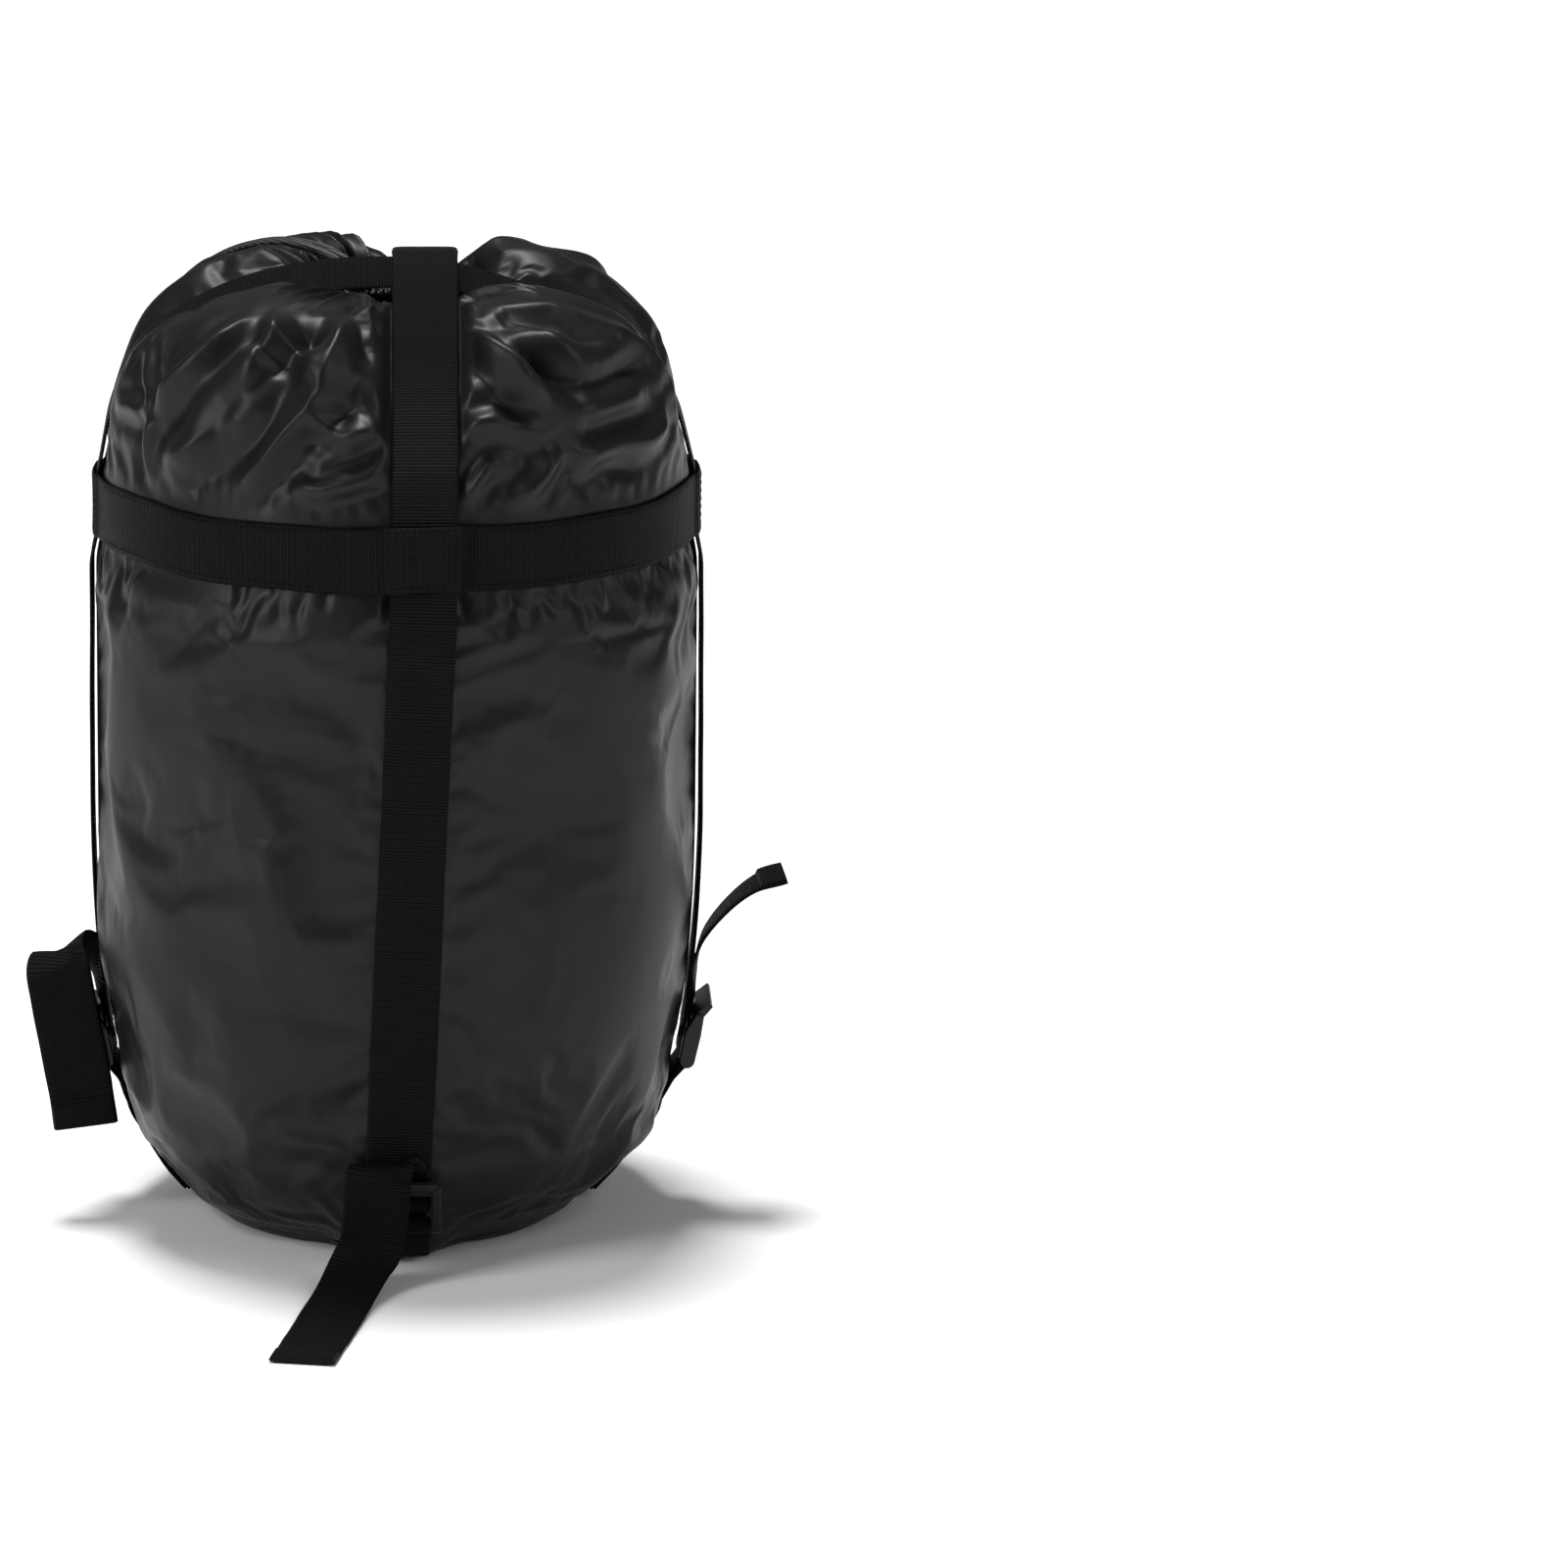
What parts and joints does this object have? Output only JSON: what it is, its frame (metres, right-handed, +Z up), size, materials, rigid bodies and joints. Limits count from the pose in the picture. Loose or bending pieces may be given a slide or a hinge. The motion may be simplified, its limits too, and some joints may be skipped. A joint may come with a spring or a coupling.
{
  "type": "compression sack",
  "caption": "Round drawcord stuff sack with a ring band and crossed webbing straps that squeeze it from the top through ladder-lock buckles.",
  "frame": {"origin": "centre of the round bottom panel, on the surface that the sack stands on", "axes": "+Z up through the mouth, -Y towards the front strap and its long tail, +X to the right seen from the front"},
  "size_m": [0.2959, 0.4647, 0.3818],
  "materials": {
    "shell_fabric": "satin woven nylon",
    "webbing": "ribbed woven webbing",
    "binding": "plain woven tape",
    "cord": "braided",
    "buckle_plastic": "moulded, semi-gloss",
    "spring_steel": "drawn wire"
  },
  "bodies": {
    "base": {"bottom_panel": "shell_fabric", "sack_body": "shell_fabric", "seam_tape": "binding", "strap_run_front": "webbing", "strap_run_right": "webbing", "strap_run_back": "webbing", "strap_run_left": "webbing", "lock_tab_front": "webbing", "lock_tab_right": "webbing", "lock_tab_back": "webbing", "lock_tab_left": "webbing", "strap_tail_front": "webbing", "strap_tail_right": "webbing", "strap_tail_back": "webbing", "strap_tail_left": "webbing"},
    "cap": {"sack_dome": "shell_fabric", "ring_band": "webbing", "strap_over_side": "webbing", "strap_over_front": "webbing", "mouth_hem": "shell_fabric", "hem_cord": "cord", "drawcord_a": "cord", "drawcord_b": "cord", "cord_knot": "cord"},
    "ladder_front": {"ladder_lock_front": "buckle_plastic", "strap_wrap_front": "webbing"},
    "ladder_right": {"ladder_lock_right": "buckle_plastic", "strap_wrap_right": "webbing"},
    "ladder_back": {"ladder_lock_back": "buckle_plastic", "strap_wrap_back": "webbing"},
    "ladder_left": {"ladder_lock_left": "buckle_plastic", "strap_wrap_left": "webbing"},
    "cord_lock": {"lock_barrel": "buckle_plastic", "lock_spring": "spring_steel"},
    "cord_button": {"lock_plunger": "buckle_plastic"}
  },
  "joints": [
    {"name": "compress", "type": "slide", "parent": "base", "child": "cap", "axis": [0, 0, 1], "range_m": [-0.1, 0], "deforming": ["sack_body", "strap_run_front", "strap_run_right", "strap_run_back", "strap_run_left"]},
    {"name": "tilt_front", "type": "hinge", "parent": "base", "child": "ladder_front", "pos_m": [0, -0.10275, 0.01924], "axis": [1, 0, 0], "range_deg": [0, 45], "deforming": ["strap_tail_front"]},
    {"name": "tilt_right", "type": "hinge", "parent": "base", "child": "ladder_right", "pos_m": [0.11459, 0, 0.06151], "axis": [0, 1, 0], "range_deg": [0, 45], "deforming": ["strap_tail_right"]},
    {"name": "tilt_back", "type": "hinge", "parent": "base", "child": "ladder_back", "pos_m": [0, 0.10275, 0.01924], "axis": [-1, 0, 0], "range_deg": [0, 45], "deforming": ["strap_tail_back"]},
    {"name": "tilt_left", "type": "hinge", "parent": "base", "child": "ladder_left", "pos_m": [-0.11459, 0, 0.06151], "axis": [0, -1, 0], "range_deg": [0, 45], "deforming": ["strap_tail_left"]},
    {"name": "cord_lock_slide", "type": "slide", "parent": "cap", "child": "cord_lock", "axis": [0, 0, 1], "range_m": [-0.03, 0.018]},
    {"name": "cord_button_press", "type": "slide", "parent": "cord_lock", "child": "cord_button", "axis": [0.7986, -0.6018, 0], "range_m": [0, 0.0025], "stiffness_N_per_m": 1500, "springref_m": -0.0015, "deforming": ["lock_spring"]}
  ]
}
